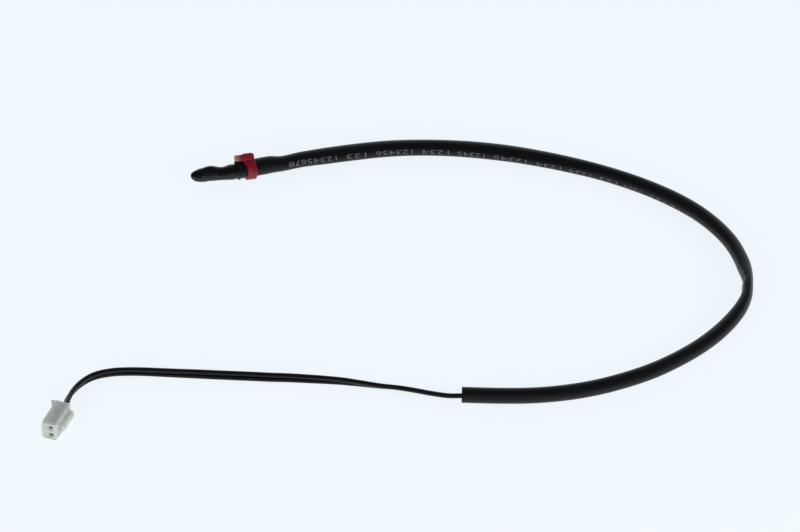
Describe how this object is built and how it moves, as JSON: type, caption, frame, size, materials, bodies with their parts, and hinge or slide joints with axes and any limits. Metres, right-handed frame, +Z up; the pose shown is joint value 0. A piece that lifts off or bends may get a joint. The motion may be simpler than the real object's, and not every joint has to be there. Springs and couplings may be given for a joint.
{
  "type": "temperature sensor",
  "caption": "Closed round probe tip that senses temperature, tied into a soft sleeved lead that lies in a loop and ends in a small keyed plug.",
  "frame": {"origin": "on the surface that the sensor lies on, below the middle of the box of the tip and its cable tie", "axes": "-X along the tip towards its nose, +Z up from the surface, and the lead's loop lies towards +X and -Y"},
  "size_m": [0.2075, 0.1181, 0.008],
  "materials": {
    "tip_resin": "dipped and cured black resin, glossy and slightly wavy",
    "chip_ceramic": "sintered ceramic with fired electrodes",
    "bead_resin": "smooth resin drop",
    "tinned_wire": "tinned fine wire",
    "solder": "solidified solder",
    "shrink_tube": "shrunk thin tube",
    "tie_nylon": "moulded red nylon, smooth",
    "sleeve_vinyl": "soft extruded black vinyl, satin, with plain printed marks",
    "wire_vinyl": "extruded black vinyl, satin",
    "copper_core": "fine stranded copper",
    "plug_nylon": "moulded natural nylon, slightly translucent",
    "contact_brass": "stamped and folded strip"
  },
  "bodies": {
    "root": {"tip_coating": "tip_resin", "thermistor_chip": "chip_ceramic", "bead_coating": "bead_resin", "bead_lead_a": "tinned_wire", "bead_lead_b": "tinned_wire", "solder_joint_a": "solder", "solder_joint_b": "solder", "joint_tube_a": "shrink_tube", "joint_tube_b": "shrink_tube", "cable_tie": "tie_nylon", "outer_sleeve": "sleeve_vinyl", "wire_a": "wire_vinyl", "wire_b": "wire_vinyl", "conductor_a": "copper_core", "conductor_b": "copper_core", "plug_housing": "plug_nylon", "contact_a": "contact_brass", "contact_b": "contact_brass"}
  },
  "joints": []
}
